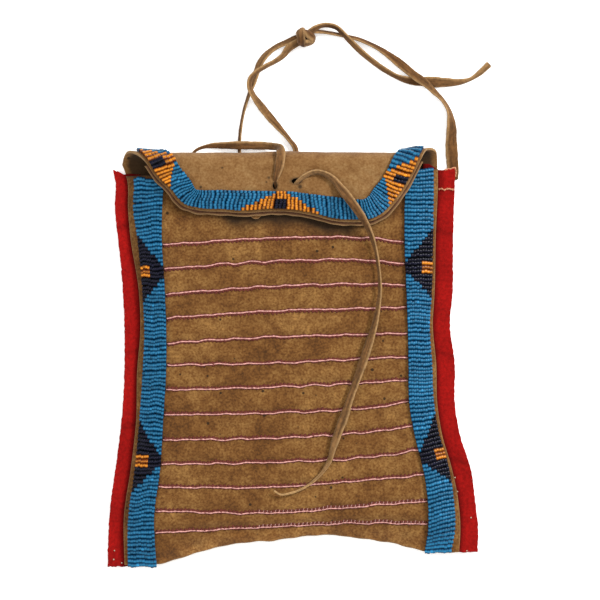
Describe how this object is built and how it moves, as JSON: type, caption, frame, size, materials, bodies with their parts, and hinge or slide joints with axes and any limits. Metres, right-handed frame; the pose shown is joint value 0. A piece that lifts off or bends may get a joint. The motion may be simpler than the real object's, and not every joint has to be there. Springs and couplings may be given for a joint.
{
  "type": "beaded dispatch bag",
  "caption": "Flat hide bag with a beaded fold-over flap, beaded side bands, wool side strips, stitched front lines and a knotted hide carrying thong.",
  "frame": {"origin": "centre of the bag's underside as it lies on its back, without its thongs", "axes": "+X to the right across the front, +Y up the bag towards the fold of its flap, +Z out of the front"},
  "size_m": [0.211, 0.2993, 0.021],
  "materials": {
    "smoked_hide": "matt smoked suede",
    "flap_hide": "matt pale suede",
    "thong_hide": "matt twisted hide thong",
    "red_wool": "felted wool",
    "pink_line": "wrapped and stitched strand",
    "blue_glass_beads": "opaque glass seed beads",
    "navy_glass_beads": "opaque glass seed beads",
    "orange_glass_beads": "opaque glass seed beads"
  },
  "bodies": {
    "root": {"front_panel": "smoked_hide", "back_and_flap": "flap_hide", "flap_hem_strip": "thong_hide", "left_wool_strip": "red_wool", "right_wool_strip": "red_wool", "left_band_01_blue": "blue_glass_beads", "left_band_02_navy": "navy_glass_beads", "left_band_03_orange": "orange_glass_beads", "left_band_04_blue": "blue_glass_beads", "left_band_05_navy": "navy_glass_beads", "left_band_06_orange": "orange_glass_beads", "left_band_07_blue": "blue_glass_beads", "right_band_01_blue": "blue_glass_beads", "right_band_02_navy": "navy_glass_beads", "right_band_03_orange": "orange_glass_beads", "right_band_04_blue": "blue_glass_beads", "right_band_05_navy": "navy_glass_beads", "right_band_06_orange": "orange_glass_beads", "right_band_07_blue": "blue_glass_beads", "flap_band_01_blue": "blue_glass_beads", "flap_band_02_orange": "orange_glass_beads", "flap_band_03_navy": "navy_glass_beads", "flap_band_04_blue": "blue_glass_beads", "flap_band_05_orange": "orange_glass_beads", "flap_band_06_navy": "navy_glass_beads", "flap_band_07_blue": "blue_glass_beads", "flap_band_08_orange": "orange_glass_beads", "flap_band_09_navy": "navy_glass_beads", "flap_band_10_blue": "blue_glass_beads", "front_line_01": "pink_line", "front_line_02": "pink_line", "front_line_03": "pink_line", "front_line_04": "pink_line", "front_line_05": "pink_line", "front_line_06": "pink_line", "front_line_07": "pink_line", "front_line_08": "pink_line", "front_line_09": "pink_line", "front_line_10": "pink_line", "front_line_11": "pink_line", "front_line_12": "pink_line", "front_line_13": "pink_line", "tie_thong": "thong_hide", "carrying_thong": "thong_hide", "carrying_knot": "thong_hide"}
  },
  "joints": []
}
